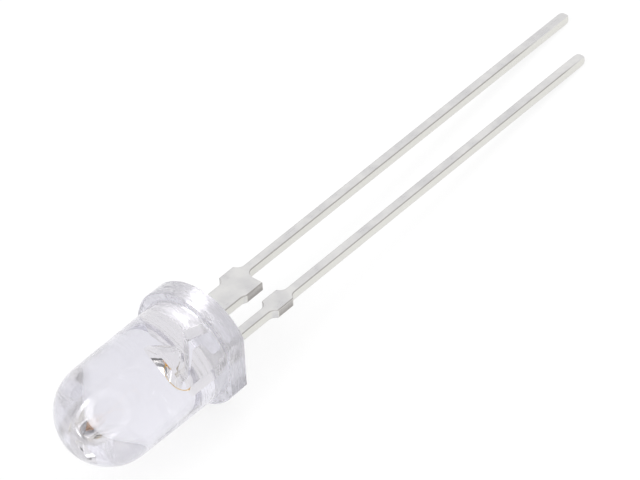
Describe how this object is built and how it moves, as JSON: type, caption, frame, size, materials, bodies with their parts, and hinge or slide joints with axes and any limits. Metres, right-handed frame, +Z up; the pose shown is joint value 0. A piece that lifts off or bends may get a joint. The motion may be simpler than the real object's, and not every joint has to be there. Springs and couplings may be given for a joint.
{
  "type": "through-hole LED",
  "caption": "Clear round through-hole LED, 5 mm, with domed epoxy lens, flange with a polarity flat, and stamped leads with a reflector cup, lying as it rests.",
  "frame": {"origin": "centre of the flange's rear face (the seating plane), on the lens axis", "axes": "+Z up from the surface that the LED lies on, touching it with the flange's rear rim and the tips of both legs; +X along the legs, away from the dome, level; the flat on the flange, the cathode's side, faces -Y. The lens axis itself slopes up from the legs to the dome by 5.7 degrees."},
  "size_m": [0.0364, 0.0056, 0.006],
  "materials": {
    "epoxy": "clear cast epoxy",
    "lead_metal": "tin plated, satin",
    "adhesive": "silver filled, dull",
    "die": "sawn and metallised",
    "gold": "bright drawn wire"
  },
  "bodies": {
    "root": {"lens_body": "epoxy", "anode_lead": "lead_metal", "cathode_lead": "lead_metal", "die_bond": "adhesive", "led_die": "die", "bond_wire": "gold"}
  },
  "joints": []
}
